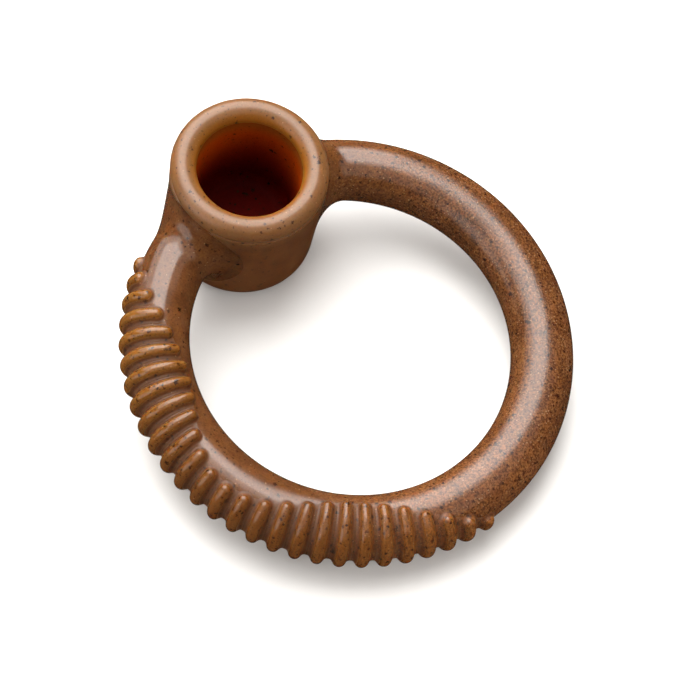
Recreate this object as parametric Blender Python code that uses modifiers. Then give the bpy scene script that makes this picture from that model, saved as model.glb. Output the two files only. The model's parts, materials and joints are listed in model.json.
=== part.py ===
"""A nylon chew ring: a round bar bent into a ring, chew ribs on its outside and a small treat cup.

Units are metres and +Z is up. The ring lies as it does on a table at z = 0, propped on the cup's
lower edge and on the far side of the bar, so its own plane slopes. The origin is the middle of the
bottom of the box around it, with the cup at the -X end.

The pieces are modelled flat in the ring's own frame, whose origin is the ring's centre, whose XY plane
holds the bar's centre-line and whose Z axis is parallel to the cup's. Angles round the ring start at the
far end, opposite the cup, and run towards +Y. Angles round the bar start at its outermost line.
"""

import math

import bmesh
import bpy
import numpy as np
from mathutils import Matrix, Vector

# The bar
RING_RADIUS = 0.0490  # to the bar's centre-line
BAR_RADIUS = 0.0080
FLARE_GROWTH = 0.0035  # added to the bar's radius where it meets the cup
FLARE_LENGTH = 0.0080  # from the cup's wall out to where the flare begins

# The treat cup
CUP_INSET = 0.0009  # from the bar's centre-line in to the cup's axis
CUP_LIP_RADIUS = 0.0201
CUP_BASE_RADIUS = 0.0196
CUP_RISE = 0.0188  # from the ring's plane up to the top of the lip
CUP_DROP = 0.0188  # from the ring's plane down to the underside
CUP_WALL = 0.0066  # rounded over at the top into the lip
CUP_FLOOR = 0.0048
CUP_CORNER = 0.0035  # rounding inside, between floor and wall
CUP_BASE_EDGE = 0.0034  # rounding outside, round the underside

# The chew ribs, each a bead bent round the bar
RIB_COUNT = 27
RIB_START = 0.0108  # along the bar, from the cup's wall to the middle of the first rib
RIB_END = math.radians(0.4)  # round the ring, from the far end to the middle of the last rib
RIB_VALLEY = 0.00065  # between neighbours, where they come closest
RIB_HEIGHT = 0.00175  # above the bar
RIB_NEAR_REACH = math.radians(135)  # how far round the bar the longest ribs go each way, on the cup's half
RIB_FAR_REACH = math.radians(122)  # the longest ribs on the far half
RIB_WAIST_REACH = math.radians(72)  # the middle rib
RIB_TAIL_REACH = math.radians(26)  # the first and last ribs

# How it lies
REST_HEADING = math.radians(12)  # the way the slope faces: ribs prop up the -Y side
STEEPEST_SLOPE = math.radians(45)  # more than any slope that it can lie at

# Fits
SEAT_GAP = 0.0003  # between pieces that touch
CUTTER_SPARE = 0.005  # by which a cutter passes what it cuts
WELD_DISTANCE = 0.00001

# How finely round shapes are divided
BAR_STEPS = 76
BAR_CROWDING = 0.35  # steps are closer together towards the bar's ends
BAR_BEVEL = 8
CUP_STEPS = 56
ARC_STEPS = 5
RIB_ARC_STEPS = 6
RIB_STEP = math.radians(13)
RIB_TIP_STEPS = 3
SLOPE_HALVINGS = 50
SHARP_ANGLE = math.radians(40)  # edges that turn by more are shaded sharp

# Finish: linear colours of the speckled nylon
BAR_COLOUR = (0.300, 0.155, 0.082, 1.0)
CUP_COLOUR = (0.330, 0.165, 0.080, 1.0)
RIB_COLOUR = (0.275, 0.130, 0.058, 1.0)
NYLON_ROUGHNESS = 0.42

# Worked out from the sizes above
CUP_OFFSET = RING_RADIUS - CUP_INSET
CUP_MID_RADIUS = (CUP_LIP_RADIUS + CUP_BASE_RADIUS) / 2
LIP_RADIUS = CUP_WALL / 2
BORE_RADIUS = CUP_LIP_RADIUS - CUP_WALL


def wall_angle():
    """Angle round the ring at which the bar's centre-line meets the cup's wall."""
    square = CUP_MID_RADIUS**2 - RING_RADIUS**2 - CUP_OFFSET**2
    return math.acos(square / (2 * RING_RADIUS * CUP_OFFSET))


def flare_at(x, y):
    """What the flare adds to the bar's radius at a place in the ring's plane."""
    to_wall = max(math.hypot(x + CUP_OFFSET, y) - CUP_MID_RADIUS, 0)
    return FLARE_GROWTH * max(1 - to_wall / FLARE_LENGTH, 0) ** 2


def widest_bar_at(angle):
    """The bar's radius at an angle round the ring, where its flare is widest: on its inner side."""
    inner = RING_RADIUS - BAR_RADIUS
    return BAR_RADIUS + flare_at(inner * math.cos(angle), inner * math.sin(angle))


def rib_angle(index):
    """Angle round the ring of a rib's middle plane: the ribs are evenly spaced on the -Y side."""
    first = RIB_START / RING_RADIUS - wall_angle()
    return first + index * (RIB_END - first) / (RIB_COUNT - 1)


def rib_half_angle():
    """Half a rib's width as an angle round the ring, which leaves the named valley at the innermost tips."""
    pitch = rib_angle(1) - rib_angle(0)
    tip_radius = RING_RADIUS + BAR_RADIUS * math.cos(max(RIB_NEAR_REACH, RIB_FAR_REACH))
    return (pitch - RIB_VALLEY / tip_radius) / 2


def rib_reach(index):
    """How far round the bar a rib goes each way: two crests with a waist between them."""
    middle = (RIB_COUNT - 1) / 2
    share = abs(index - middle) / middle
    crest = RIB_NEAR_REACH if index < middle else RIB_FAR_REACH
    if share < 0.5:
        swell = (1 - math.cos(2 * math.pi * share)) / 2
        return RIB_WAIST_REACH + (crest - RIB_WAIST_REACH) * swell
    swell = math.cos(math.pi * (share - 0.5))
    return RIB_TAIL_REACH + (crest - RIB_TAIL_REACH) * swell


def clear_scene():
    """Remove whatever the scene holds."""
    for obj in list(bpy.data.objects):
        bpy.data.objects.remove(obj, do_unlink=True)


def new_collection(name):
    """A collection of the scene."""
    collection = bpy.data.collections.new(name)
    bpy.context.scene.collection.children.link(collection)
    return collection


def nylon(name, colour):
    """A satin nylon material."""
    material = bpy.data.materials.new(name)
    material.use_nodes = True
    shader = material.node_tree.nodes["Principled BSDF"]
    shader.inputs["Base Color"].default_value = colour
    shader.inputs["Roughness"].default_value = NYLON_ROUGHNESS
    shader.inputs["Metallic"].default_value = 0.0
    return material


def add_object(name, mesh, collection, parent, material=None):
    """An object of the mesh in the collection, placed in its parent's frame."""
    obj = bpy.data.objects.new(name, mesh)
    collection.objects.link(obj)
    obj.parent = parent
    if material:
        mesh.materials.append(material)
        mesh.shade_smooth()
        mesh.set_sharp_from_angle(angle=SHARP_ANGLE)
    return obj


def arc(centre, radius, start, end, steps):
    """Points (across, up) of an arc, both ends included."""
    points = []
    for step in range(steps + 1):
        angle = start + (end - start) * step / steps
        points.append((centre[0] + radius * math.cos(angle), centre[1] + radius * math.sin(angle)))
    return points


def cup_profile():
    """Half section (radius, height) of the cup: up the inside, over the lip and down the outside."""
    floor = CUP_FLOOR - CUP_DROP
    lip_centre = (CUP_LIP_RADIUS - LIP_RADIUS, CUP_RISE - LIP_RADIUS)
    corner_centre = (BORE_RADIUS - CUP_CORNER, floor + CUP_CORNER)
    edge_centre = (CUP_BASE_RADIUS - CUP_BASE_EDGE, CUP_BASE_EDGE - CUP_DROP)
    quarter = math.pi / 2
    points = [(0, floor)]
    points += arc(corner_centre, CUP_CORNER, -quarter, 0, ARC_STEPS)
    points += arc(lip_centre, LIP_RADIUS, math.pi, 0, 2 * ARC_STEPS)
    points += arc(edge_centre, CUP_BASE_EDGE, 0, -quarter, ARC_STEPS)
    points.append((0, -CUP_DROP))
    return points


def add_cup(collection, parent):
    """The treat cup: open at the top, closed below, with a rounded lip."""
    mesh = bpy.data.meshes.new("treat_cup")
    outline = bmesh.new()
    verts = [outline.verts.new((radius, 0, height)) for radius, height in cup_profile()]
    for before, after in zip(verts, verts[1:]):
        outline.edges.new((before, after))
    outline.to_mesh(mesh)
    outline.free()
    cup = add_object("treat_cup", mesh, collection, parent, nylon("cup_nylon", CUP_COLOUR))
    cup.location.x = -CUP_OFFSET
    turn = cup.modifiers.new("turn", "SCREW")
    turn.axis = "Z"
    turn.steps = CUP_STEPS
    turn.render_steps = CUP_STEPS
    turn.use_merge_vertices = True
    turn.merge_threshold = WELD_DISTANCE
    turn.use_smooth_shade = True
    return cup


def bar_curve():
    """The bar's centre-line as a bevelled curve, with both ends tucked into the cup."""
    curve = bpy.data.curves.new("bar_path", "CURVE")
    curve.dimensions = "3D"
    curve.bevel_depth = BAR_RADIUS
    curve.bevel_resolution = BAR_BEVEL
    curve.use_fill_caps = True
    path = curve.splines.new("POLY")
    path.points.add(BAR_STEPS)
    end = (wall_angle() + math.pi) / 2
    for step, point in enumerate(path.points):
        share = 2 * step / BAR_STEPS - 1
        angle = end * (share + BAR_CROWDING * (share - share**3))
        point.co = (RING_RADIUS * math.cos(angle), RING_RADIUS * math.sin(angle), 0, 1)
    return curve


def curve_mesh(curve, name):
    """A closed mesh of a bevelled curve, with its caps welded on."""
    guide = bpy.data.objects.new(name, curve)
    bpy.context.scene.collection.objects.link(guide)
    graph = bpy.context.evaluated_depsgraph_get()
    mesh = bpy.data.meshes.new_from_object(guide.evaluated_get(graph))
    mesh.name = name
    bpy.data.objects.remove(guide)
    bpy.data.curves.remove(curve)
    welded = bmesh.new()
    welded.from_mesh(mesh)
    bmesh.ops.remove_doubles(welded, verts=welded.verts, dist=WELD_DISTANCE)
    bmesh.ops.recalc_face_normals(welded, faces=welded.faces)
    welded.to_mesh(mesh)
    welded.free()
    return mesh


def add_cup_cutter(collection, parent):
    """The space that the cup takes out of the bar's ends: its tapered outside with the seat gap."""
    mesh = bpy.data.meshes.new("cup_space")
    taper = (CUP_LIP_RADIUS - CUP_BASE_RADIUS) / (CUP_RISE - LIP_RADIUS + CUP_DROP - CUP_BASE_EDGE)
    low = CUP_BASE_EDGE - CUP_DROP - CUTTER_SPARE
    high = CUP_RISE - LIP_RADIUS + CUTTER_SPARE
    low_radius = CUP_BASE_RADIUS - taper * CUTTER_SPARE + SEAT_GAP
    high_radius = CUP_LIP_RADIUS + taper * CUTTER_SPARE + SEAT_GAP
    space = bmesh.new()
    bmesh.ops.create_cone(
        space,
        cap_ends=True,
        segments=CUP_STEPS,
        radius1=low_radius,
        radius2=high_radius,
        depth=high - low,
        matrix=Matrix.Translation((0, 0, (low + high) / 2)),
    )
    space.to_mesh(mesh)
    space.free()
    cutter = add_object("cup_space", mesh, collection, parent)
    cutter.location.x = -CUP_OFFSET
    cutter.hide_render = True
    cutter.display_type = "WIRE"
    return cutter


def flare(mesh):
    """Swell the bar's ends towards the cup: each point moves straight out from the centre-line."""
    for vertex in mesh.vertices:
        centre = Vector((vertex.co.x, vertex.co.y, 0)).normalized() * RING_RADIUS
        out = (vertex.co - centre).normalized()
        vertex.co += out * flare_at(vertex.co.x, vertex.co.y)


def add_bar(collection, cutters, parent):
    """The ring's bar: a long round arc from one side of the cup to the other."""
    mesh = curve_mesh(bar_curve(), "ring_bar")
    flare(mesh)
    bar = add_object("ring_bar", mesh, collection, parent, nylon("bar_nylon", BAR_COLOUR))
    seat = bar.modifiers.new("cup_seat", "BOOLEAN")
    seat.operation = "DIFFERENCE"
    seat.solver = "EXACT"
    seat.object = add_cup_cutter(cutters, parent)
    return bar


def rib_sections(index):
    """(angle round the bar, share of full size) of a rib's sections, from one rounded tip to the other."""
    reach = rib_reach(index)
    tip = rib_half_angle() * RING_RADIUS / BAR_RADIUS
    steps = max(1, math.ceil(2 * (reach - tip) / RIB_STEP))
    rise = []
    for step in range(1, RIB_TIP_STEPS):
        turn = math.pi / 2 * step / RIB_TIP_STEPS
        rise.append((tip * math.cos(turn), math.sin(turn)))
    sections = [(tip - reach - back, share) for back, share in rise]
    sections += [((reach - tip) * (2 * step / steps - 1), 1.0) for step in range(steps + 1)]
    sections += [(reach - tip + back, share) for back, share in reversed(rise)]
    return sections


def loft(name, rings):
    """A closed mesh through rings of as many points each, with a flat cap on either end."""
    shape = bmesh.new()
    loops = [[shape.verts.new(point) for point in ring] for ring in rings]
    for before, after in zip(loops, loops[1:]):
        for side in range(len(before)):
            shape.faces.new((before[side - 1], before[side], after[side], after[side - 1]))
    shape.faces.new(loops[0])
    shape.faces.new(loops[-1])
    bmesh.ops.recalc_face_normals(shape, faces=shape.faces)
    mesh = bpy.data.meshes.new(name)
    shape.to_mesh(mesh)
    shape.free()
    return mesh


def add_rib(index, collection, parent, material):
    """One chew rib: a half-round bead round the bar, seated on it and widest on its outer side."""
    angle = rib_angle(index)
    cup_side = abs(angle) + rib_half_angle()
    seat = widest_bar_at(cup_side) + SEAT_GAP
    height = BAR_RADIUS + RIB_HEIGHT - seat
    bead = arc((0, 0), 1.0, 0, math.pi, RIB_ARC_STEPS)
    rings = []
    for turn, share in rib_sections(index):
        out = Vector((math.cos(turn), 0, math.sin(turn)))
        half_width = rib_half_angle() * (RING_RADIUS + BAR_RADIUS * math.cos(turn))
        along = Vector((0, half_width * share, 0))
        rings.append([out * (seat + height * share * up) + along * across for across, up in bead])
    name = f"chew_rib_{index + 1:02d}"
    rib = add_object(name, loft(name, rings), collection, parent, material)
    rib.location = (RING_RADIUS * math.cos(angle), RING_RADIUS * math.sin(angle), 0)
    rib.rotation_euler.z = angle
    return rib


def world_points(objects):
    """Corners of the objects' finished meshes, in the world."""
    bpy.context.view_layer.update()
    graph = bpy.context.evaluated_depsgraph_get()
    points = []
    for obj in objects:
        finished = obj.evaluated_get(graph)
        mesh = finished.to_mesh()
        points += [obj.matrix_world @ vertex.co for vertex in mesh.vertices]
        finished.to_mesh_clear()
    return np.array(points)


def sloped(angle):
    """The turn that lowers the side of the rest heading by an angle."""
    axis = Vector((-math.sin(REST_HEADING), math.cos(REST_HEADING), 0))
    return Matrix.Rotation(angle, 3, axis)


def resting_slope(cup, ring):
    """The slope at which the cup and the rest of the ring reach down equally far."""
    cup_points = world_points(cup)
    ring_points = world_points(ring)
    low = 0.0
    high = STEEPEST_SLOPE
    for _ in range(SLOPE_HALVINGS):
        middle = (low + high) / 2
        down = np.array(sloped(middle))[2]
        if (cup_points @ down).min() < (ring_points @ down).min():
            low = middle
        else:
            high = middle
    return (low + high) / 2


def lay_down(frame, cup, ring):
    """Lay the ring on the table, with the origin under the middle of the box around it."""
    slope = resting_slope(cup, ring)
    frame.matrix_world = sloped(slope).to_4x4()
    points = world_points(cup + ring)
    low = points.min(axis=0)
    high = points.max(axis=0)
    frame.location = (-(low[0] + high[0]) / 2, -(low[1] + high[1]) / 2, -low[2])
    bpy.context.view_layer.update()


def main():
    """Build the chew ring."""
    clear_scene()
    pieces = new_collection("nylon_chew_ring")
    cutters = new_collection("cutters")
    frame = bpy.data.objects.new("ring_frame", None)
    pieces.objects.link(frame)
    cup = add_cup(pieces, frame)
    bar = add_bar(pieces, cutters, frame)
    rib_nylon = nylon("rib_nylon", RIB_COLOUR)
    ribs = [add_rib(index, pieces, frame, rib_nylon) for index in range(RIB_COUNT)]
    lay_down(frame, [cup], [bar] + ribs)


main()
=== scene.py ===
"""A speckled nylon chew ring with a treat cup, dressed for a plain studio.

The real thing is one moulding, so the pieces are shaped to run into each other: the bar widens into a
fillet that lies along the cup's wall, and every rib has a foot that runs out along the bar. Each piece is
modelled in the ring's own frame, in metres, and then carried to where the ring lies. In that frame the
ring's centre is the origin, the bar's centre-line lies in the XY plane and the cup stands at -X. An angle
round the ring starts at the far end, +X, and an angle round the bar at its outermost line.
"""

import json
import logging
import math
from dataclasses import dataclass
from enum import Enum
from typing import Any

import bmesh
import bpy
from mathutils import Matrix, Vector


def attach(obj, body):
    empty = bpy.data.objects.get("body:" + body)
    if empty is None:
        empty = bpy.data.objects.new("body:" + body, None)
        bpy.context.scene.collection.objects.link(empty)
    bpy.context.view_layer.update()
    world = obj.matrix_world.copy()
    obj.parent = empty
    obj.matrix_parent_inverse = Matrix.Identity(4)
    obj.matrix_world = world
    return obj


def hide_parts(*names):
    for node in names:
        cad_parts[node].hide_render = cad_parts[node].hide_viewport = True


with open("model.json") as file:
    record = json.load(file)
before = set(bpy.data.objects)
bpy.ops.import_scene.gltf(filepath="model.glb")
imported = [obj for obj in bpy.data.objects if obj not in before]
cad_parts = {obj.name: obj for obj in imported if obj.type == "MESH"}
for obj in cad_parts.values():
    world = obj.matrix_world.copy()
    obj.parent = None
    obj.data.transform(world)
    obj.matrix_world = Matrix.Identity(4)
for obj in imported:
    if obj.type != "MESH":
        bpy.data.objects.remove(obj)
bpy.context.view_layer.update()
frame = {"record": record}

LOG = logging.getLogger("chew_ring")
BODY = "root"
MERGE_DISTANCE = 1e-7
SHARP_ANGLE = math.radians(50)
QUARTER = math.pi / 2
RAISED = "raised"
COARSE_HEADING = math.radians(55)
PALE_HEADING = math.radians(-4)
GRAIN_DEPTH = 0.00006
ORIGIN = (0.0, 0.0, 0.0)
UPRIGHT = (0.0, 0.0, 1.0)
LEVEL = (1.0, 1.0, 0.0)

Socket = bpy.types.NodeSocket
Triple = tuple[float, float, float]
Colour = tuple[float, float, float, float]


class BarEnd(Enum):
    """The two ends of the bar, by the side of the cup that they run into."""

    RIBBED = -1
    PLAIN = 1


class SectionPen:
    """Draws a half section as a wire in the XZ plane, each stretch from where the last one ended."""

    def __init__(self, across: float, up: float) -> None:
        """Put the pen down.

        Args:
            across: distance from the axis.
            up: height.
        """
        self.mesh = bmesh.new()
        self.tip = self.mesh.verts.new((across, 0.0, up))

    def line(self, across: float, up: float, steps: int = 1) -> None:
        """Draw a straight run in equal steps.

        Args:
            across: distance from the axis where it ends.
            up: height where it ends.
            steps: how many edges it has.
        """
        step = (Vector((across, 0.0, up)) - self.tip.co) / steps
        for _ in range(steps):
            self.tip = bmesh.ops.extrude_vert_indiv(self.mesh, verts=[self.tip])["verts"][0]
            self.tip.co += step

    def arc(self, across: float, up: float, angle: float, steps: int) -> None:
        """Draw an arc round a centre.

        Args:
            across: distance of the centre from the axis.
            up: height of the centre.
            angle: how far it turns, from +X towards +Z.
            steps: how many edges it has.
        """
        made = bmesh.ops.spin(
            self.mesh, geom=[self.tip], cent=(across, 0.0, up), axis=(0.0, -1.0, 0.0),
            angle=angle, steps=steps,
        )
        self.tip = next(item for item in made["geom_last"] if isinstance(item, bmesh.types.BMVert))


def whole(mesh: bmesh.types.BMesh) -> list[Any]:
    """List everything in a mesh, as the operators want it."""
    return [*mesh.verts, *mesh.edges, *mesh.faces]


def spin_round(mesh: bmesh.types.BMesh, angle: float, steps: int, closed: bool = False) -> None:
    """Spin all of a mesh round the Z axis.

    Args:
        mesh: the mesh.
        angle: how far it turns.
        steps: how many rows of faces that makes.
        closed: whether the last row is joined to the first.
    """
    bmesh.ops.spin(
        mesh, geom=whole(mesh), cent=ORIGIN, axis=UPRIGHT, angle=angle, steps=steps, use_merge=closed
    )


def make_piece(name: str, mesh: bmesh.types.BMesh, place: Matrix) -> bpy.types.Object:
    """Close a mesh, carry it to its place and make it a smooth object at the origin.

    Args:
        name: the piece's name.
        mesh: its shape in the ring's frame, which is used up.
        place: the ring's frame.

    Returns:
        The new piece.
    """
    bmesh.ops.remove_doubles(mesh, verts=mesh.verts, dist=MERGE_DISTANCE)
    bmesh.ops.recalc_face_normals(mesh, faces=mesh.faces)
    bmesh.ops.transform(mesh, matrix=place, verts=mesh.verts)
    data = bpy.data.meshes.new(name)
    mesh.to_mesh(data)
    mesh.free()
    data.shade_smooth()
    data.set_sharp_from_angle(angle=SHARP_ANGLE)
    piece = bpy.data.objects.new(name, data)
    bpy.context.scene.collection.objects.link(piece)
    return piece


def hand_over(piece: bpy.types.Object, node: str, *materials: bpy.types.Material) -> None:
    """Dress a finished piece and put it in the place of its solid.

    Args:
        piece: the finished piece.
        node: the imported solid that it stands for.
        materials: its finishes, in the order that its faces number them.
    """
    for material in materials:
        piece.data.materials.append(material)
    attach(piece, BODY)
    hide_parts(node)
    LOG.info("%s stands for %s with %d faces", piece.name, node, len(piece.data.polygons))


@dataclass(frozen=True)
class TreatCup:
    """The turned cup: a thick wall with a fine ledge round its top, a rolled lip on it, and a closed floor.

    Radii are from the cup's axis and heights from the ring's plane.
    """

    offset: float = 0.0481
    lip_radius: float = 0.0201
    base_radius: float = 0.0196
    rise: float = 0.0188
    drop: float = 0.0188
    wall: float = 0.0066
    floor: float = 0.0048
    corner: float = 0.0035
    base_edge: float = 0.0034
    lip_tuck: float = math.radians(22)
    ledge: float = 0.00022
    turns: int = 168
    floor_steps: int = 7
    corner_steps: int = 8
    bore_steps: int = 18
    lip_steps: int = 28
    ledge_steps: int = 4
    wall_steps: int = 24
    edge_steps: int = 8
    base_steps: int = 9
    pocket_finish: int = 1

    @property
    def bore(self) -> float:
        """Radius of the pocket."""
        return self.lip_radius - self.wall

    @property
    def lip_roll(self) -> float:
        """Radius of the lip's half-round."""
        return self.wall / 2

    @property
    def lip_centre(self) -> float:
        """Height of the middle of the lip's half-round."""
        return self.rise - self.lip_roll

    @property
    def wall_top(self) -> float:
        """Height of the ledge, where the lip's roll has turned in again."""
        return self.lip_centre - self.lip_roll * math.sin(self.lip_tuck)

    def wall_radius(self, up: float) -> float:
        """Work out the wall's outside radius at a height, since the wall tapers towards the base.

        Args:
            up: the height.

        Returns:
            The radius.
        """
        top = self.wall_top - self.ledge
        bottom = self.base_edge - self.drop
        share = (up - bottom) / (top - bottom)
        return self.base_radius + share * (self.lip_radius - self.base_radius)

    def section(self) -> bmesh.types.BMesh:
        """Draw the half section, from the middle of the floor over the lip to the middle of the base.

        Returns:
            The section as a wire.
        """
        floor = self.floor - self.drop
        pen = SectionPen(0.0, floor)
        pen.line(self.bore - self.corner, floor, self.floor_steps)
        pen.arc(self.bore - self.corner, floor + self.corner, QUARTER, self.corner_steps)
        pen.line(self.bore, self.lip_centre, self.bore_steps)
        pen.arc(self.bore + self.lip_roll, self.lip_centre, -math.pi - self.lip_tuck, self.lip_steps)
        pen.line(self.lip_radius - self.ledge, self.wall_top)
        pen.arc(self.lip_radius - self.ledge, self.wall_top - self.ledge, -QUARTER, self.ledge_steps)
        pen.line(self.base_radius, self.base_edge - self.drop, self.wall_steps)
        pen.arc(self.base_radius - self.base_edge, self.base_edge - self.drop, -QUARTER, self.edge_steps)
        pen.line(0.0, -self.drop, self.base_steps)
        return pen.mesh

    def build(self, place: Matrix) -> bpy.types.Object:
        """Turn the section round the cup's axis.

        Args:
            place: the ring's frame.

        Returns:
            The finished cup.
        """
        mesh = self.section()
        spin_round(mesh, 2 * math.pi, self.turns, closed=True)
        for face in mesh.faces:
            spot = face.calc_center_median()
            if spot.xy.length < self.bore and -self.drop < spot.z - MERGE_DISTANCE < self.lip_centre:
                face.material_index = self.pocket_finish
        bmesh.ops.translate(mesh, vec=(-self.offset, 0.0, 0.0), verts=mesh.verts)
        return make_piece("moulded_cup", mesh, place)


@dataclass(frozen=True)
class RingBar:
    """The round bar of the ring, which widens at both ends into a fillet along the cup's wall."""

    cup: TreatCup
    ring_radius: float = 0.0490
    bar_radius: float = 0.0080
    fillet: float = 0.0070
    tuck: float = 0.0004
    tuck_depth: float = 0.00004
    plug_depth: float = 0.0016
    segments: int = 96
    rows: int = 250
    fillet_rows: int = 16
    plug_rows: int = 6

    def swing(self, turn: float, proud: float, clear: float) -> float:
        """Find how far round the ring a point lies, from its distances to the bar and to the cup.

        Args:
            turn: the point's angle round the bar.
            proud: its distance outside the bar.
            clear: its distance outside the cup's wall.

        Returns:
            The angle round the ring, from the far end towards +Y.
        """
        out = self.ring_radius + (self.bar_radius + proud) * math.cos(turn)
        up = (self.bar_radius + proud) * math.sin(turn)
        from_axis = self.cup.wall_radius(up) + clear
        offset = self.cup.offset
        return math.acos((from_axis**2 - out**2 - offset**2) / (2 * out * offset))

    def point(self, turn: float, proud: float, swing: float) -> Vector:
        """Place a point on the bar or over it.

        Args:
            turn: its angle round the bar.
            proud: its distance outside the bar.
            swing: its angle round the ring.

        Returns:
            The point in the ring's frame.
        """
        out = self.ring_radius + (self.bar_radius + proud) * math.cos(turn)
        up = (self.bar_radius + proud) * math.sin(turn)
        return Vector((out * math.cos(swing), out * math.sin(swing), up))

    def turn_of(self, spot: Vector) -> float:
        """Give the angle round the bar at which a point lies."""
        return math.atan2(spot.z, math.hypot(spot.x, spot.y) - self.ring_radius)

    def sweep(self) -> bmesh.types.BMesh:
        """Sweep the bar's circle round the ring, on each line as far as the start of the fillet.

        Returns:
            The bar as an open tube.
        """
        mesh = bmesh.new()
        reach = self.swing(QUARTER, 0.0, self.fillet)
        upright = Matrix.Rotation(QUARTER, 4, "X")
        start = Matrix.Rotation(-reach, 4, "Z") @ Matrix.Translation((self.ring_radius, 0.0, 0.0)) @ upright
        bmesh.ops.create_circle(mesh, radius=self.bar_radius, segments=self.segments, matrix=start)
        spin_round(mesh, 2 * reach, self.rows)
        for vert in mesh.verts:
            turn = self.turn_of(vert.co)
            share = math.atan2(vert.co.y, vert.co.x) / reach
            vert.co = self.point(turn, 0.0, share * self.swing(turn, 0.0, self.fillet))
        return mesh

    def end_rows(self) -> list[tuple[float, float]]:
        """List the rows of an end, each as its distance outside the bar and outside the cup's wall.

        Returns:
            The rows of the fillet, then the hidden ones that close the end inside the wall.
        """
        rows = []
        for row in range(1, self.fillet_rows + 1):
            angle = QUARTER * row / self.fillet_rows
            rows.append((self.fillet * (1 - math.cos(angle)), self.fillet * (1 - math.sin(angle))))
        rim = self.fillet + self.tuck
        rows += [(rim, -self.tuck_depth), (rim, -self.plug_depth)]
        for row in range(1, self.plug_rows):
            rows.append((rim - (rim + self.bar_radius) * row / self.plug_rows, -self.plug_depth))
        return rows

    def extend(self, mesh: bmesh.types.BMesh, end: BarEnd) -> None:
        """Add the fillet and the hidden plug to one end of the tube.

        Args:
            mesh: the tube.
            end: which end.
        """
        rim = [edge for edge in mesh.edges if edge.is_boundary and edge.verts[0].co.y * end.value > 0]
        for proud, clear in self.end_rows():
            made = bmesh.ops.extrude_edge_only(mesh, edges=rim)["geom"]
            rim = [item for item in made if isinstance(item, bmesh.types.BMEdge)]
            for vert in (item for item in made if isinstance(item, bmesh.types.BMVert)):
                turn = self.turn_of(vert.co)
                vert.co = self.point(turn, proud, end.value * self.swing(turn, proud, clear))
        bmesh.ops.holes_fill(mesh, edges=rim)

    def build(self, place: Matrix) -> bpy.types.Object:
        """Make the bar with both its ends.

        Args:
            place: the ring's frame.

        Returns:
            The finished bar.
        """
        mesh = self.sweep()
        for end in BarEnd:
            self.extend(mesh, end)
        return make_piece("moulded_bar", mesh, place)


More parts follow.
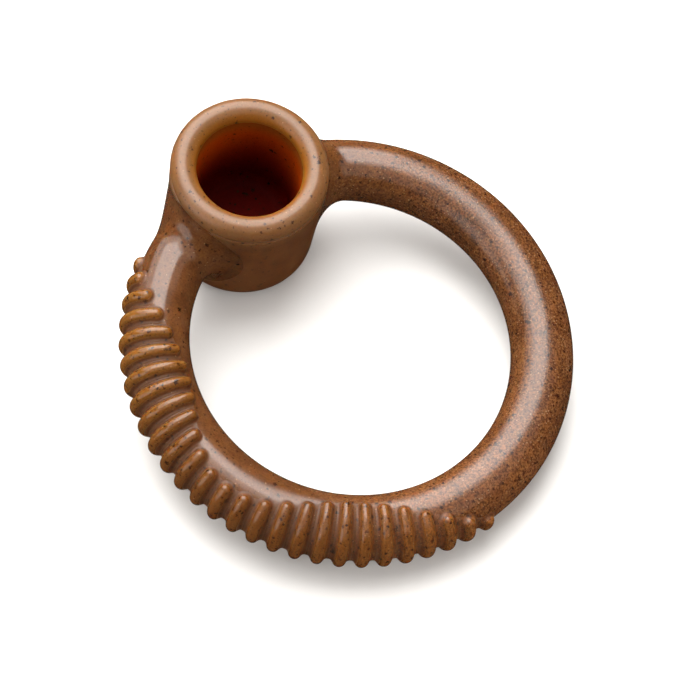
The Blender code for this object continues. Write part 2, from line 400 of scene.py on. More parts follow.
@dataclass(frozen=True)
class ChewRibs:
    """The row of ribs across the bar, long in two places and short between and at the ends.

    A rib has a round crown, straight flanks, hollow feet and round tips. Its section is drawn as it is over
    the bar's centre-line, and it widens away from the middle of the ring.
    """

    bar: RingBar
    count: int = 27
    start: float = 0.0108
    end: float = math.radians(0.4)
    height: float = 0.00175
    near_crown: float = 0.0014
    far_crown: float = 0.0012
    spread: float = 0.0021
    flank: float = math.radians(60)
    tip: float = 0.0019
    tail: float = 0.0003
    tail_depth: float = 0.00003
    sunk: float = 0.0006
    near_reach: float = math.radians(135)
    far_reach: float = math.radians(122)
    waist_reach: float = math.radians(72)
    tail_reach: float = math.radians(26)
    crest_at: float = 0.5
    crown_steps: int = 8
    flank_steps: int = 3
    foot_steps: int = 6
    sunk_steps: int = 2
    tip_steps: int = 20
    run_step: float = 0.0007
    least_steps: int = 2

    def angle(self, index: int) -> float:
        """Space the ribs evenly on the way from the cup to the far end.

        Args:
            index: which rib, from the cup.

        Returns:
            Its angle round the ring.
        """
        cup = self.bar.cup
        middle = (cup.lip_radius + cup.base_radius) / 2
        ring = self.bar.ring_radius
        square = middle**2 - ring**2 - cup.offset**2
        first = self.start / ring - math.acos(square / (2 * ring * cup.offset))
        return first + index * (self.end - first) / (self.count - 1)

    def reach(self, index: float) -> float:
        """Give how far a rib reaches round the bar each way.

        Args:
            index: which rib, from the cup, or a place between two.

        Returns:
            The angle, which swells to a crest on both sides of the middle rib and fades to both ends.
        """
        middle = (self.count - 1) / 2
        share = abs(index - middle) / middle
        crest = self.near_reach if index < middle else self.far_reach
        if share < self.crest_at:
            swell = (1 - math.cos(math.pi * share / self.crest_at)) / 2
            return self.waist_reach + (crest - self.waist_reach) * swell
        fade = math.cos(QUARTER * (share - self.crest_at) / (1 - self.crest_at))
        return self.tail_reach + (crest - self.tail_reach) * fade

    def crown(self, index: int) -> float:
        """Give the radius of a rib's round crown, which is tighter towards the far end."""
        return self.near_crown + (self.far_crown - self.near_crown) * index / (self.count - 1)

    def section(self, crown: float) -> bmesh.types.BMesh:
        """Draw half of a rib's section: the crown, the flank, the foot and the part sunk in the bar.

        Args:
            crown: the radius of its crown, which with that of the foot makes up the spread.

        Returns:
            The section as a wire, with the bar's surface at height 0.
        """
        foot = self.spread - crown
        drop = self.height - self.spread * (1 - math.cos(self.flank))
        foot_across = self.spread * math.sin(self.flank) + drop / math.tan(self.flank)
        rim = foot_across + self.tail
        pen = SectionPen(0.0, self.height)
        pen.arc(0.0, self.height - crown, -self.flank, self.crown_steps)
        flank_across = foot_across - foot * math.sin(self.flank)
        pen.line(flank_across, foot * (1 - math.cos(self.flank)), self.flank_steps)
        pen.arc(foot_across, foot, self.flank, self.foot_steps)
        pen.line(rim, -self.tail_depth)
        pen.line(rim, -self.sunk)
        pen.line(0.0, -self.sunk, self.sunk_steps)
        return pen.mesh

    def flat_rib(self, index: int) -> bmesh.types.BMesh:
        """Make a straight rib along X with two round tips, as if the bar were rolled out flat.

        Args:
            index: which rib, from the cup.

        Returns:
            The rib, with its middle over the origin.
        """
        mesh = self.section(self.crown(index))
        run = self.reach(index) * self.bar.bar_radius - self.tip
        steps = max(self.least_steps, round(run / self.run_step))
        sideways = Matrix.Rotation(-QUARTER, 3, "Z")
        bmesh.ops.rotate(mesh, cent=ORIGIN, matrix=sideways, verts=mesh.verts)
        spin_round(mesh, math.pi, self.tip_steps)
        bmesh.ops.remove_doubles(mesh, verts=mesh.verts, dist=MERGE_DISTANCE)
        open_edges = [edge for edge in mesh.edges if edge.is_boundary]
        for _ in range(steps):
            made = bmesh.ops.extrude_edge_only(mesh, edges=open_edges)["geom"]
            open_edges = [item for item in made if isinstance(item, bmesh.types.BMEdge)]
            moved = [item for item in made if isinstance(item, bmesh.types.BMVert)]
            bmesh.ops.translate(mesh, vec=(-run / steps, 0.0, 0.0), verts=moved)
        bmesh.ops.translate(mesh, vec=(run, 0.0, 0.0), verts=mesh.verts)
        bmesh.ops.mirror(
            mesh, geom=whole(mesh), matrix=Matrix.Identity(4), merge_dist=MERGE_DISTANCE, axis="X"
        )
        return mesh

    def build(self, index: int, place: Matrix) -> bpy.types.Object:
        """Make one rib and bend it round the bar.

        Args:
            index: which rib, from the cup.
            place: the ring's frame.

        Returns:
            The finished rib.
        """
        mesh = self.flat_rib(index)
        bar = self.bar
        raised = mesh.verts.layers.float.new(RAISED)
        for vert in mesh.verts:
            along, across, up = vert.co
            vert[raised] = max(0.0, up / self.height)
            turn = along / bar.bar_radius
            vert.co = bar.point(turn, up, self.angle(index) + across / bar.ring_radius)
        return make_piece(f"moulded_rib_{index + 1:02d}", mesh, place)

    def mark_valleys(self, piece: bpy.types.Object, place: Matrix) -> None:
        """Mark the finished bar as low between the ribs and raised everywhere else, for its dullness and
        painted shade in the valleys.

        Args:
            piece: the finished bar.
            place: the ring's frame.
        """
        marks = piece.data.attributes.new(RAISED, "FLOAT", "POINT")
        back = place.inverted()
        first = self.angle(0)
        pitch = self.angle(1) - first
        for vert, mark in zip(piece.data.vertices, marks.data):
            spot = back @ vert.co
            index = (math.atan2(spot.y, spot.x) - first) / pitch
            mark.value = 1.0
            if 0 < index < self.count - 1:
                beyond = (abs(self.bar.turn_of(spot)) - self.reach(index)) * self.bar.bar_radius
                mark.value = min(1.0, max(0.0, 1.0 + beyond / self.tip))


class NodeSheet:
    """Adds nodes to a tree and joins them."""

    def __init__(self, tree: bpy.types.NodeTree) -> None:
        """Start on an empty tree."""
        self.tree = tree
        tree.nodes.clear()

    def node(self, kind: str, inputs: dict[Any, Any] | None = None, **settings: Any) -> bpy.types.Node:
        """Add a node.

        Args:
            kind: the node's type, without the part that all types share.
            inputs: a value or a socket to join for each input, by name or number.
            settings: the node's own properties.

        Returns:
            The new node.
        """
        node = self.tree.nodes.new("ShaderNode" + kind)
        for key, value in settings.items():
            setattr(node, key, value)
        for key, value in (inputs or {}).items():
            if isinstance(value, Socket):
                self.tree.links.new(value, node.inputs[key])
            else:
                node.inputs[key].default_value = value
        return node

    def math(self, operation: str, *values: Any) -> Socket:
        """Add a Math node on some values and give its result."""
        return self.node("Math", dict(enumerate(values)), operation=operation).outputs[0]

    def vector(self, operation: str, *values: Any) -> Socket:
        """Add a Vector Math node on some values and give the vector that it makes."""
        return self.node("VectorMath", dict(enumerate(values)), operation=operation).outputs["Vector"]

    def measure(self, operation: str, *values: Any) -> Socket:
        """Add a Vector Math node on some values and give the number that it makes."""
        return self.node("VectorMath", dict(enumerate(values)), operation=operation).outputs["Value"]

    def attribute(self, name: str) -> Socket:
        """Add a node that reads a number kept on the mesh and give that number."""
        return self.node("Attribute", attribute_name=name).outputs["Fac"]

    def noise(self, spot: Socket, scale: Any, **inputs: float) -> bpy.types.Node:
        """Add a noise texture, with its other inputs by name, and give the node."""
        return self.node("TexNoise", {"Vector": spot, "Scale": scale, **inputs})

    def step(self, value: Any, low: Any, high: Any) -> Socket:
        """Add a smooth step from 0 at low to 1 at high and give its result."""
        inputs = {"Value": value, "From Min": low, "From Max": high}
        return self.node("MapRange", inputs, interpolation_type="SMOOTHSTEP").outputs["Result"]

    def scale(self, value: Any, low: Any, high: Any) -> Socket:
        """Add a straight map of 0 to 1 on to low to high and give its result."""
        return self.node("MapRange", {"Value": value, "To Min": low, "To Max": high}).outputs["Result"]

    def mix(self, share: Any, first: Any, second: Any, blend: str = "MIX") -> Socket:
        """Add a colour mix and give its result."""
        inputs = {0: share, 6: first, 7: second}
        return self.node("Mix", inputs, data_type="RGBA", blend_type=blend).outputs[2]


class EffectGroup(NodeSheet):
    """A shader node group with named sockets, for an effect that several finishes share."""

    def __init__(self, name: str, inputs: dict[str, float | None], outputs: tuple[str, ...]) -> None:
        """Start the group.

        Args:
            name: the group's name.
            inputs: the default of each input, or None for a vector.
            outputs: the names of its outputs, which are all single values.
        """
        super().__init__(bpy.data.node_groups.new(name, "ShaderNodeTree"))
        face = self.tree.interface
        for key, value in inputs.items():
            kind = "NodeSocketVector" if value is None else "NodeSocketFloat"
            socket = face.new_socket(key, in_out="INPUT", socket_type=kind)
            if value is not None:
                socket.default_value = value
        for key in outputs:
            face.new_socket(key, in_out="OUTPUT", socket_type="NodeSocketFloat")
        self.given = self.tree.nodes.new("NodeGroupInput").outputs
        self.results = self.tree.nodes.new("NodeGroupOutput").inputs

    def put_out(self, key: str, value: Socket) -> None:
        """Join a result to one of the group's outputs."""
        self.tree.links.new(value, self.results[key])


def speck_group() -> bpy.types.NodeTree:
    """Make the group that scatters specks of one size through the nylon.

    Returns:
        A group whose mask is 1 in a speck, with a random tone for each.
    """
    wobble_scale = 2600.0
    middle_grey = (0.5, 0.5, 0.5)
    least_size = 0.4
    solid_share = 0.7
    inputs = {"Vector": None, "Scale": 900.0, "Amount": 0.3, "Size": 0.3, "Ragged": 0.5}
    sheet = EffectGroup("nylon_specks", inputs, ("Mask", "Tone"))
    given = sheet.given
    wobble = sheet.noise(given["Vector"], wobble_scale, Detail=1.0)
    shifted = sheet.vector("SUBTRACT", wobble.outputs["Color"], middle_grey)
    reach = sheet.math("DIVIDE", given["Ragged"], given["Scale"])
    pushed = sheet.node("VectorMath", {0: shifted, "Scale": reach}, operation="SCALE").outputs["Vector"]
    spot = sheet.vector("ADD", given["Vector"], pushed)
    cells = sheet.node("TexVoronoi", {"Vector": spot, "Scale": given["Scale"]})
    chance = sheet.node("SeparateColor", {"Color": cells.outputs["Color"]})
    size = sheet.math("MULTIPLY", given["Size"], sheet.scale(chance.outputs["Green"], least_size, 1.0))
    solid = sheet.math("MULTIPLY", size, solid_share)
    inside = sheet.step(cells.outputs["Distance"], size, solid)
    kept = sheet.math("LESS_THAN", chance.outputs["Red"], given["Amount"])
    sheet.put_out("Mask", sheet.math("MULTIPLY", inside, kept))
    sheet.put_out("Tone", chance.outputs["Blue"])
    return sheet.tree


def mottle_group() -> bpy.types.NodeTree:
    """Make the group for the uneven colour of the melt.

    Returns:
        A group that puts out a broad share, a finer one and a fine grainy one.
    """
    middle = 0.5
    half_band = 0.18
    half_grain_band = 0.2
    inputs = {"Vector": None, "Scale": 110.0, "Fine Scale": 420.0, "Grain Scale": 1900.0}
    sheet = EffectGroup("nylon_mottle", inputs, ("Broad", "Fine", "Grain"))
    given = sheet.given
    broad = sheet.noise(given["Vector"], given["Scale"], Detail=3.0, Distortion=0.6)
    fine = sheet.noise(given["Vector"], given["Fine Scale"], Detail=3.0)
    grain = sheet.noise(given["Vector"], given["Grain Scale"], Detail=2.0)
    bands = (("Broad", broad, half_band), ("Fine", fine, half_band), ("Grain", grain, half_grain_band))
    for key, noise, half in bands:
        sheet.put_out(key, sheet.step(noise.outputs["Fac"], middle - half, middle + half))
    return sheet.tree


def grain_group() -> bpy.types.NodeTree:
    """Make the group for the fine moulded grain, which is coarser over one part of the ring.

    Returns:
        A group that puts out the grain's height and shares of how grainy and how pale the place is.
    """
    patch_scale = 75.0
    patch_lean = 1.4
    grainy_from = -0.35
    grainy_to = 0.65
    pale_from = 0.72
    inputs = {"Vector": None, "Scale": 2400.0, "Least": 0.12}
    sheet = EffectGroup("moulded_grain", inputs, ("Height", "Grainy", "Pale"))
    given = sheet.given
    heading = sheet.vector("NORMALIZE", sheet.vector("MULTIPLY", given["Vector"], LEVEL))
    coarse_side = (math.cos(COARSE_HEADING), math.sin(COARSE_HEADING), 0.0)
    pale_side = (math.cos(PALE_HEADING), math.sin(PALE_HEADING), 0.0)
    patch = sheet.noise(given["Vector"], patch_scale, Detail=2.0)
    lean = sheet.math("MULTIPLY_ADD", patch.outputs["Fac"], patch_lean, -patch_lean / 2)
    near = sheet.math("ADD", sheet.measure("DOT_PRODUCT", heading, coarse_side), lean)
    grainy = sheet.step(near, grainy_from, grainy_to)
    fine = sheet.noise(given["Vector"], given["Scale"], Detail=2.0)
    strength = sheet.scale(grainy, given["Least"], 1.0)
    sheet.put_out("Height", sheet.math("MULTIPLY", fine.outputs["Fac"], strength))
    sheet.put_out("Grainy", grainy)
    sheet.put_out("Pale", sheet.step(sheet.measure("DOT_PRODUCT", heading, pale_side), pale_from, 1.0))
    return sheet.tree


@dataclass(frozen=True)
class NylonEffects:
    """The node groups that the nylon finishes share."""

    specks: bpy.types.NodeTree
    mottle: bpy.types.NodeTree
    grain: bpy.types.NodeTree


@dataclass(frozen=True)
class SpeckLayer:
    """The specks of one size: how close their cells lie, how many have one, its size and how it covers."""

    scale: float
    amount: float
    size: float
    strength: float


@dataclass(frozen=True)
class SpeckledNylon:
    """Tan nylon with brown and black specks: mottled, satin and finely grained."""

    name: str
    effects: NylonEffects
    place: Matrix
    tan: Colour = (0.140, 0.0545, 0.0192, 1.0)
    umber: Colour = (0.092, 0.0320, 0.0100, 1.0)
    amber: Colour = (0.165, 0.0620, 0.0168, 1.0)
    # pale flecks: partly the melt's own pale dots, partly painted glints of the grain
    pale: Colour = (0.380, 0.215, 0.105, 1.0)
    speck_dark: Colour = (0.016, 0.005, 0.0015, 1.0)
    speck_brown: Colour = (0.054, 0.016, 0.004, 1.0)
    smooth_gloss: float = 0.18
    grainy_gloss: float = 0.22
    specular: float = 0.5
    ior: float = 1.53
    glow: float = 0.6
    glow_depth: float = 0.0040
    glow_spread: Triple = (1.0, 0.35, 0.12)
    amber_share: float = 0.45
    cloudiness: float = 1.0
    smooth_cloud: float = 0.18
    grainy_cloud: float = 0.56
    pale_lift: float = 1.28
    crowding: float = 1.0
    thin_crowd: float = 0.3
    smooth_crowd: float = 0.45
    smooth_flecks: float = 0.15
    layers: tuple[SpeckLayer, ...] = (
        SpeckLayer(scale=1250.0, amount=1.2, size=0.36, strength=0.75),
        SpeckLayer(scale=640.0, amount=1.9, size=0.34, strength=1.0),
        SpeckLayer(scale=330.0, amount=1.8, size=0.24, strength=1.0),
    )
    # pale flecks, partly painted glints of the grain
    flecks: SpeckLayer | None = SpeckLayer(scale=1300.0, amount=0.8, size=0.30, strength=0.55)

    def spot(self, sheet: NodeSheet) -> Socket:
        """Find the place on the piece in the ring's own frame.

        Args:
            sheet: the material's nodes.

        Returns:
            The place.
        """
        back = self.place.inverted()
        inputs = {
            "Vector": sheet.node("TexCoord").outputs["Object"], "Location": back.to_translation(),
            "Rotation": back.to_euler("XYZ"),
        }
        return sheet.node("Mapping", inputs).outputs[0]

    def specks(self, sheet: NodeSheet, spot: Socket, layer: SpeckLayer, crowd: Socket) -> Any:
        """Scatter the specks of one size, fewer where they crowd less, and give their group's outputs.

        Args:
            sheet: the material's nodes.
            spot: the place on the piece.
            layer: the specks.
            crowd: how much they crowd there.

        Returns:
            The outputs of the group.
        """
        amount = sheet.math("MULTIPLY", crowd, layer.amount)
        inputs = {"Vector": spot, "Scale": layer.scale, "Amount": amount, "Size": layer.size}
        return sheet.node("Group", inputs, node_tree=self.effects.specks).outputs

    def tint(self, sheet: NodeSheet, spot: Socket, body: Socket) -> Socket:
        """Give the colour of the melt on this part of the moulding, which here is the body's own."""
        return body

    def gloss(self, sheet: NodeSheet, grainy: Socket) -> Any:
        """Set how rough the surface is.

        Args:
            sheet: the material's nodes.
            grainy: how grainy the place is.

        Returns:
            The roughness, as a plain number where it is the same all over.
        """
        if self.smooth_gloss == self.grainy_gloss:
            return self.smooth_gloss
        return sheet.scale(grainy, self.smooth_gloss, self.grainy_gloss)

    def body(self, sheet: NodeSheet, spot: Socket, mottle: Any, grain: Any) -> Socket:
        """Colour the melt, before any specks.

        Args:
            sheet: the material's nodes.
            spot: the place on the piece.
            mottle: the outputs of the group for the uneven melt.
            grain: the outputs of the group for the moulded grain.

        Returns:
            The colour.
        """
        body = sheet.mix(mottle["Broad"], self.umber, self.tan)
        body = sheet.mix(sheet.math("MULTIPLY", mottle["Fine"], self.amber_share), body, self.amber)
        body = self.tint(sheet, spot, body)
        cloud = sheet.scale(grain["Grainy"], self.smooth_cloud, self.grainy_cloud)
        cloud = sheet.math("MULTIPLY", cloud, self.cloudiness)
        darkest = sheet.math("SUBTRACT", 1.0, cloud)
        palest = sheet.math("ADD", 1.0, cloud)
        shade = sheet.scale(mottle["Grain"], darkest, palest)
        # the colour is made paler, by up to pale_lift, on the side of the ring that PALE_HEADING points to
        shade = sheet.math("MULTIPLY", shade, sheet.scale(grain["Pale"], 1.0, self.pale_lift))
        grey = sheet.node("CombineColor", {0: shade, 1: shade, 2: shade}).outputs[0]
        return sheet.mix(1.0, body, grey, "MULTIPLY")

    def speckle(self, sheet: NodeSheet, spot: Socket, body: Socket, mottle: Any, grain: Any) -> Socket:
        """Strew pale flecks, where there are any, and dark specks over the melt. The pale flecks are partly
        pale dots in the melt and partly painted glints of the grain.

        Args:
            sheet: the material's nodes.
            spot: the place on the piece.
            body: the colour of the melt.
            mottle: the outputs of the group for the uneven melt.
            grain: the outputs of the group for the moulded grain.

        Returns:
            The colour with its specks.
        """
        if self.flecks is not None:
            few = sheet.scale(grain["Grainy"], self.smooth_flecks, 1.0)
            fleck = self.specks(sheet, spot, self.flecks, few)
            body = sheet.mix(sheet.math("MULTIPLY", fleck["Mask"], self.flecks.strength), body, self.pale)
        crowd = sheet.scale(mottle["Fine"], self.thin_crowd, 1.0)
        crowd = sheet.math("MULTIPLY", crowd, sheet.scale(grain["Grainy"], self.smooth_crowd, 1.0))
        crowd = sheet.math("MULTIPLY", crowd, self.crowding)
        for layer in self.layers:
            specks = self.specks(sheet, spot, layer, crowd)
            tone = sheet.mix(specks["Tone"], self.speck_dark, self.speck_brown)
            body = sheet.mix(sheet.math("MULTIPLY", specks["Mask"], layer.strength), body, tone)
        return body

    def build(self) -> bpy.types.Material:
        """Make the material.

        Returns:
            The material for this part of the moulding.
        """
        material = bpy.data.materials.new(self.name)
        material.use_nodes = True
        sheet = NodeSheet(material.node_tree)
        spot = self.spot(sheet)
        mottle = sheet.node("Group", {"Vector": spot}, node_tree=self.effects.mottle).outputs
        grain = sheet.node("Group", {"Vector": spot}, node_tree=self.effects.grain).outputs
        body = self.body(sheet, spot, mottle, grain)
        bump = sheet.node("Bump", {"Height": grain["Height"], "Strength": 1.0, "Distance": GRAIN_DEPTH})
        inputs = {
            "Base Color": self.speckle(sheet, spot, body, mottle, grain),
            "Roughness": self.gloss(sheet, grain["Grainy"]),
            "Normal": bump.outputs["Normal"],
            "IOR": self.ior,
            "Specular IOR Level": self.specular,
            "Subsurface Weight": self.glow,
            "Subsurface Radius": self.glow_spread,
            "Subsurface Scale": self.glow_depth,
        }
        shader = sheet.node("BsdfPrincipled", inputs)
        sheet.node("OutputMaterial", {"Surface": shader.outputs[0]})
        return material


@dataclass(frozen=True)
class BarNylon(SpeckledNylon):
    """The nylon of the bar, which is dull in the valleys between the ribs and made red brown there by
    painted shade.
    """

    # painted shade: the red brown that darkens the valleys between the ribs and the ribs' feet, and how
    # much of it is laid on
    hollow: Colour = (0.105, 0.0290, 0.0050, 1.0)
    valley_shade_share: float = 0.7
    hollow_dullness: float = 1.0

    def low(self, sheet: NodeSheet, body: Socket) -> Socket:
        """Give the colour of the melt in a hollow, darkened to red brown by painted shade."""
        return sheet.mix(self.valley_shade_share, body, self.hollow)

    def tint(self, sheet: NodeSheet, spot: Socket, body: Socket) -> Socket:
        """Give the colour of the melt on the bar: its own, but with painted shade in a valley."""
        return sheet.mix(sheet.attribute(RAISED), self.low(sheet, body), body)

    def dullness(self, sheet: NodeSheet) -> Socket:
        """Give the least roughness on the bar, which is dull in a valley."""
        return sheet.scale(sheet.attribute(RAISED), self.hollow_dullness, 0.0)

    def gloss(self, sheet: NodeSheet, grainy: Socket) -> Socket:
        """Set how rough the surface is, which is no less than its dullness."""
        return sheet.math("MAXIMUM", self.dullness(sheet), super().gloss(sheet, grainy))


@dataclass(frozen=True)
class CupNylon(SpeckledNylon):
    """The nylon of the cup: a little paler than the bar's, yellower on the lip, and amber within it where
    painted glow stands for light passing through the lip.
    """

    cup: TreatCup = TreatCup()
    smooth_gloss: float = 0.30
    grainy_gloss: float = 0.30
    specular: float = 0.42
    cloudiness: float = 0.5
    crowding: float = 0.6
    tan: Colour = (0.168, 0.0650, 0.0220, 1.0)
    umber: Colour = (0.112, 0.0390, 0.0120, 1.0)
    amber: Colour = (0.195, 0.0730, 0.0185, 1.0)
    lip: Colour = (0.194, 0.092, 0.032, 1.0)
    lip_share: float = 0.7
    # painted glow: the amber of light passing through the lip where it turns in, and how far round the roll
    # it reaches
    lip_glow: Colour = (0.260, 0.094, 0.010, 1.0)
    turned_in_reach: float = 0.7

    def tint(self, sheet: NodeSheet, spot: Socket, body: Socket) -> Socket:
        """Give the colour of the melt on the cup.

        Args:
            sheet: the material's nodes.
            spot: the place on the piece.
            body: the colour of the melt elsewhere.

        Returns:
            The body's own colour below, the lip's above and, within, an amber painted glow of light through
            the lip.
        """
        cup = self.cup
        height = sheet.node("SeparateXYZ", {0: spot}).outputs["Z"]
        share = sheet.step(height, cup.lip_centre - 2 * cup.lip_roll, cup.lip_centre)
        upper = sheet.mix(sheet.math("MULTIPLY", share, self.lip_share), body, self.lip)
        centred = sheet.vector("ADD", spot, (cup.offset, 0.0, 0.0))
        radius = sheet.measure("LENGTH", sheet.vector("MULTIPLY", centred, LEVEL))
        # painted glow of light through the lip, from part way round the roll in to the bore
        within = sheet.step(radius, cup.bore + self.turned_in_reach * cup.lip_roll, cup.bore)
        return sheet.mix(within, upper, self.lip_glow)


@dataclass(frozen=True)
class PocketNylon(SpeckledNylon):
    """The nylon inside the cup, painted with the light that bounces in it: amber, then red brown, and dark
    below with painted shade.
    """

    cup: TreatCup = TreatCup()
    cloudiness: float = 0.5
    crowding: float = 0.5
    # painted light and shade of the pocket: amber glow at the top, red glow lower down, painted shade at
    # the floor
    upper: Colour = (0.190, 0.048, 0.005, 1.0)
    middle: Colour = (0.330, 0.043, 0.0014, 1.0)
    pocket_floor_shade: Colour = (0.095, 0.002, 0.0003, 1.0)
    smooth_gloss: float = 0.6
    grainy_gloss: float = 0.6
    specular: float = 0.03
    glow_depth: float = 0.0015
    # how far down the painted shade of the pocket starts, as a share of the cup's drop
    dark_depth: float = 0.6
    flecks: SpeckLayer | None = None

    def tint(self, sheet: NodeSheet, spot: Socket, body: Socket) -> Socket:
        """Give the colour of the melt in the pocket.

        Args:
            sheet: the material's nodes.
            spot: the place on the piece.
            body: the colour of the melt elsewhere, which doesn't show here.

        Returns:
            Painted light of the bounces in the pocket, amber under the lip and red brown below it, and
            painted shade dark at the floor.
        """
        top = self.cup.lip_centre
        height = sheet.node("SeparateXYZ", {0: spot}).outputs["Z"]
        lit = sheet.step(height, -self.dark_depth * self.cup.drop, top)
        deep = sheet.mix(lit, self.pocket_floor_shade, self.middle)
        return sheet.mix(sheet.step(height, top - self.cup.wall, top), deep, self.upper)


@dataclass(frozen=True)
class RibNylon(BarNylon):
    """The nylon of the ribs: dull at the foot and red brown there with painted shade, glossy amber above
    it, which is partly its own colour and partly painted glow of light through the rib, and paler near the
    cup with painted light.
    """

    cloudiness: float = 0.9
    crowding: float = 2.0
    # amber of the crown, partly the rib's own colour and partly painted glow of light through it; the paler
    # amber near the cup is painted light
    near_lit_amber: Colour = (0.218, 0.090, 0.0150, 1.0)
    far_amber: Colour = (0.150, 0.0560, 0.0125, 1.0)
    crown_share: float = 0.75
    near_end: float = -0.030
    far_end: float = 0.015
    # painted shade at the foot below the lower of these marks, the amber crown with its painted glow above
    # the upper
    shaded_below: float = 0.05
    amber_above: float = 0.6
    dull_below: float = 0.3
    glossy_above: float = 0.75
    hollow_dullness: float = 0.5
    smooth_gloss: float = 0.08
    grainy_gloss: float = 0.16
    specular: float = 0.40
    glow_depth: float = 0.0025
    glow_spread: Triple = (1.0, 0.42, 0.18)

    def tint(self, sheet: NodeSheet, spot: Socket, body: Socket) -> Socket:
        """Give the colour of the melt on a rib.

        Args:
            sheet: the material's nodes.
            spot: the place on the piece.
            body: the colour of the melt elsewhere.

        Returns:
            Painted shade at the foot and amber above, partly own colour and partly painted glow, made paler
            near the cup by painted light.
        """
        along = sheet.node("SeparateXYZ", {0: spot}).outputs["X"]
        # painted light: the amber grows paler towards the cup
        amber = sheet.mix(sheet.step(along, self.near_end, self.far_end), self.near_lit_amber, self.far_amber)
        crown = sheet.mix(self.crown_share, body, amber)
        rise = sheet.step(sheet.attribute(RAISED), self.shaded_below, self.amber_above)
        # painted shade at the foot, the amber crown with painted glow above it
        return sheet.mix(rise, self.low(sheet, body), crown)

    def dullness(self, sheet: NodeSheet) -> Socket:
        """Give the least roughness on a rib, whose foot is dull."""
        rise = sheet.step(sheet.attribute(RAISED), self.dull_below, self.glossy_above)
        return sheet.scale(rise, self.hollow_dullness, 0.0)


def towards(azimuth: float, elevation: float) -> Vector:
    """Give the direction from the ring to something, from its azimuth and elevation in degrees."""
    turn, rise = math.radians(azimuth), math.radians(elevation)
    return Vector((math.sin(turn) * math.cos(rise), -math.cos(turn) * math.cos(rise), math.sin(rise)))


class Reach(Enum):
    """What a light does to a surface: it may light it, show in its gloss or do both."""

    BOTH = (True, True)
    LIGHTS = (True, False)
    SHOWS = (False, True)


@dataclass(frozen=True)
class SoftBox:
    """A soft light with a flat face, turned to the ring."""

    name: str
    azimuth: float
    elevation: float
    distance: float
    width: float
    height: float
    radiance: float
    reach: Reach = Reach.BOTH
    tint: Triple = (1.0, 0.98, 0.95)

    def build(self, aim: Vector, level: Vector) -> None:
        """Hang the light.

        Args:
            aim: the point that it faces.
            level: the direction that its width runs along, as nearly as its face allows.
        """
        light = bpy.data.lights.new(self.name, "AREA")
        light.shape = "RECTANGLE"
        light.color = self.tint
        light.size = self.width
        light.size_y = self.height
        light.energy = self.radiance * math.pi * self.width * self.height
        lamp = bpy.data.objects.new(self.name, light)
        lamp.visible_diffuse, lamp.visible_glossy = self.reach.value
        back = towards(self.azimuth, self.elevation)
        across = (level - back * level.dot(back)).normalized()
        turn = Matrix((across, back.cross(across), back)).transposed().to_4x4()
        lamp.matrix_world = Matrix.Translation(aim + back * self.distance) @ turn
        bpy.context.scene.collection.objects.link(lamp)


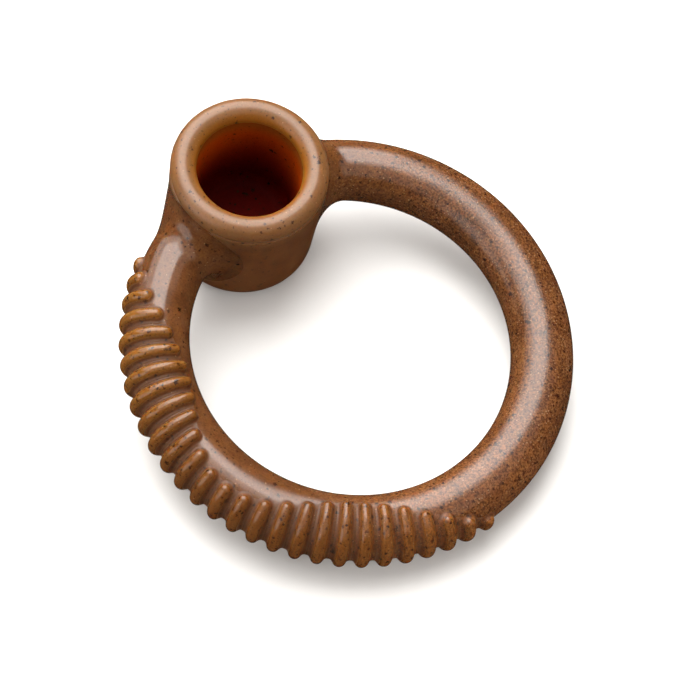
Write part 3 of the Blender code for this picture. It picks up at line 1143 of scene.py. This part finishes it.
@dataclass(frozen=True)
class Studio:
    """The pale floor, the soft lights and the camera."""

    aim: Vector = Vector((0.00684, -0.0008, 0.0149))
    camera_azimuth: float = 49.851
    camera_elevation: float = 62.477
    camera_distance: float = 0.50478
    camera_roll: float = 4.7821
    lens: float = 102.796
    sky: float = 0.19
    sky_tint: Colour = (1.0, 0.90, 0.80, 1.0)
    floor_half: float = 1.5
    floor_sent: Colour = (0.62, 0.62, 0.62, 1.0)
    floor_mirrored: Colour = (0.015, 0.015, 0.015, 1.0)
    floor_seen: Colour = (0.90, 0.90, 0.90, 1.0)
    floor_cells: int = 8
    panel: SoftBox = SoftBox(
        "wide_panel", azimuth=265.0, elevation=54.0, distance=0.9, width=1.33, height=1.56, radiance=2.6
    )
    core: SoftBox = SoftBox(
        "core_panel", azimuth=249.0, elevation=57.0, distance=0.9, width=0.88, height=0.92, radiance=4.3
    )
    strip: SoftBox = SoftBox(
        "low_strip", azimuth=244.0, elevation=32.0, distance=0.9, width=0.40, height=0.20, radiance=1.5
    )
    fill: SoftBox = SoftBox(
        "soft_fill", azimuth=108.0, elevation=32.0, distance=1.2, width=0.8, height=0.8, radiance=3.3,
        reach=Reach.LIGHTS,
    )
    card: SoftBox = SoftBox(
        "left_card", azimuth=350.0, elevation=20.0, distance=0.9, width=0.9, height=0.5, radiance=1.8
    )
    ceiling: SoftBox = SoftBox(
        "ceiling", azimuth=54.0, elevation=75.0, distance=1.1, width=2.6, height=1.6, radiance=0.75,
        reach=Reach.SHOWS,
    )

    def build_floor(self) -> None:
        """Lay the floor, which shows less in the ring's gloss than the light that it sends back."""
        mesh = bmesh.new()
        cells = self.floor_cells
        bmesh.ops.create_grid(mesh, x_segments=cells, y_segments=cells, size=self.floor_half)
        floor = make_piece("studio_floor", mesh, Matrix.Identity(4))
        material = bpy.data.materials.new("pale_floor")
        material.use_nodes = True
        sheet = NodeSheet(material.node_tree)
        path = sheet.node("LightPath").outputs
        sent = sheet.node("BsdfDiffuse", {"Color": self.floor_sent}).outputs[0]
        mirrored = sheet.node("BsdfDiffuse", {"Color": self.floor_mirrored}).outputs[0]
        seen = sheet.node("BsdfDiffuse", {"Color": self.floor_seen}).outputs[0]
        unseen = sheet.node("MixShader", {0: path["Is Glossy Ray"], 1: sent, 2: mirrored}).outputs[0]
        mixed = sheet.node("MixShader", {0: path["Is Camera Ray"], 1: unseen, 2: seen})
        sheet.node("OutputMaterial", {"Surface": mixed.outputs[0]})
        floor.data.materials.append(material)

    def build_lights(self) -> None:
        """Hang the lights and set the even light from all round, which is left out of the gloss."""
        world = bpy.data.worlds.new("studio_air")
        world.use_nodes = True
        air = world.node_tree.nodes["Background"].inputs
        air["Color"].default_value = self.sky_tint
        air["Strength"].default_value = self.sky
        world.cycles_visibility.glossy = False
        bpy.context.scene.world = world
        bpy.context.scene.view_settings.view_transform = "Standard"
        level = bpy.context.scene.camera.matrix_world.to_3x3().col[0]
        for light in (self.panel, self.core, self.strip, self.fill, self.card, self.ceiling):
            light.build(self.aim, level)

    def build_camera(self) -> None:
        """Set up the camera."""
        back = towards(self.camera_azimuth, self.camera_elevation)
        data = bpy.data.cameras.new("camera")
        data.lens = self.lens
        camera = bpy.data.objects.new("camera", data)
        turn = back.to_track_quat("Z", "Y").to_matrix().to_4x4()
        roll = Matrix.Rotation(math.radians(self.camera_roll), 4, "Z")
        camera.matrix_world = Matrix.Translation(self.aim + back * self.camera_distance) @ turn @ roll
        bpy.context.scene.collection.objects.link(camera)
        bpy.context.scene.camera = camera


def ring_place(cup: TreatCup) -> Matrix:
    """Work out the ring's frame from the flat face under the cup.

    Args:
        cup: the cup, for where that face lies in the ring's frame.

    Returns:
        The ring's frame as it lies on the floor.
    """
    face = next(mount for mount in frame["record"]["mounts"] if mount["name"] == "base_face")
    up = -Vector(face["axis"])
    turn = Vector(UPRIGHT).rotation_difference(up).to_matrix().to_4x4()
    under_cup = turn @ Vector((-cup.offset, 0.0, -cup.drop))
    return Matrix.Translation(Vector(face["pos_m"]) - under_cup) @ turn


def main() -> None:
    """Build the studio and the ring."""
    studio = Studio()
    studio.build_camera()
    studio.build_floor()
    studio.build_lights()
    cup = TreatCup()
    bar = RingBar(cup)
    ribs = ChewRibs(bar)
    place = ring_place(cup)
    effects = NylonEffects(speck_group(), mottle_group(), grain_group())
    bar_nylon = BarNylon("bar_nylon", effects, place).build()
    cup_nylon = CupNylon("cup_nylon", effects, place).build()
    pocket_nylon = PocketNylon("pocket_nylon", effects, place).build()
    rib_nylon = RibNylon("rib_nylon", effects, place).build()
    hand_over(cup.build(place), "treat_cup", cup_nylon, pocket_nylon)
    ring = bar.build(place)
    ribs.mark_valleys(ring, place)
    hand_over(ring, "ring_bar", bar_nylon)
    for index in range(ribs.count):
        hand_over(ribs.build(index, place), f"chew_rib_{index + 1:02d}", rib_nylon)


if __name__ == "__main__":
    logging.basicConfig(level=logging.INFO, format="%(message)s")
    main()
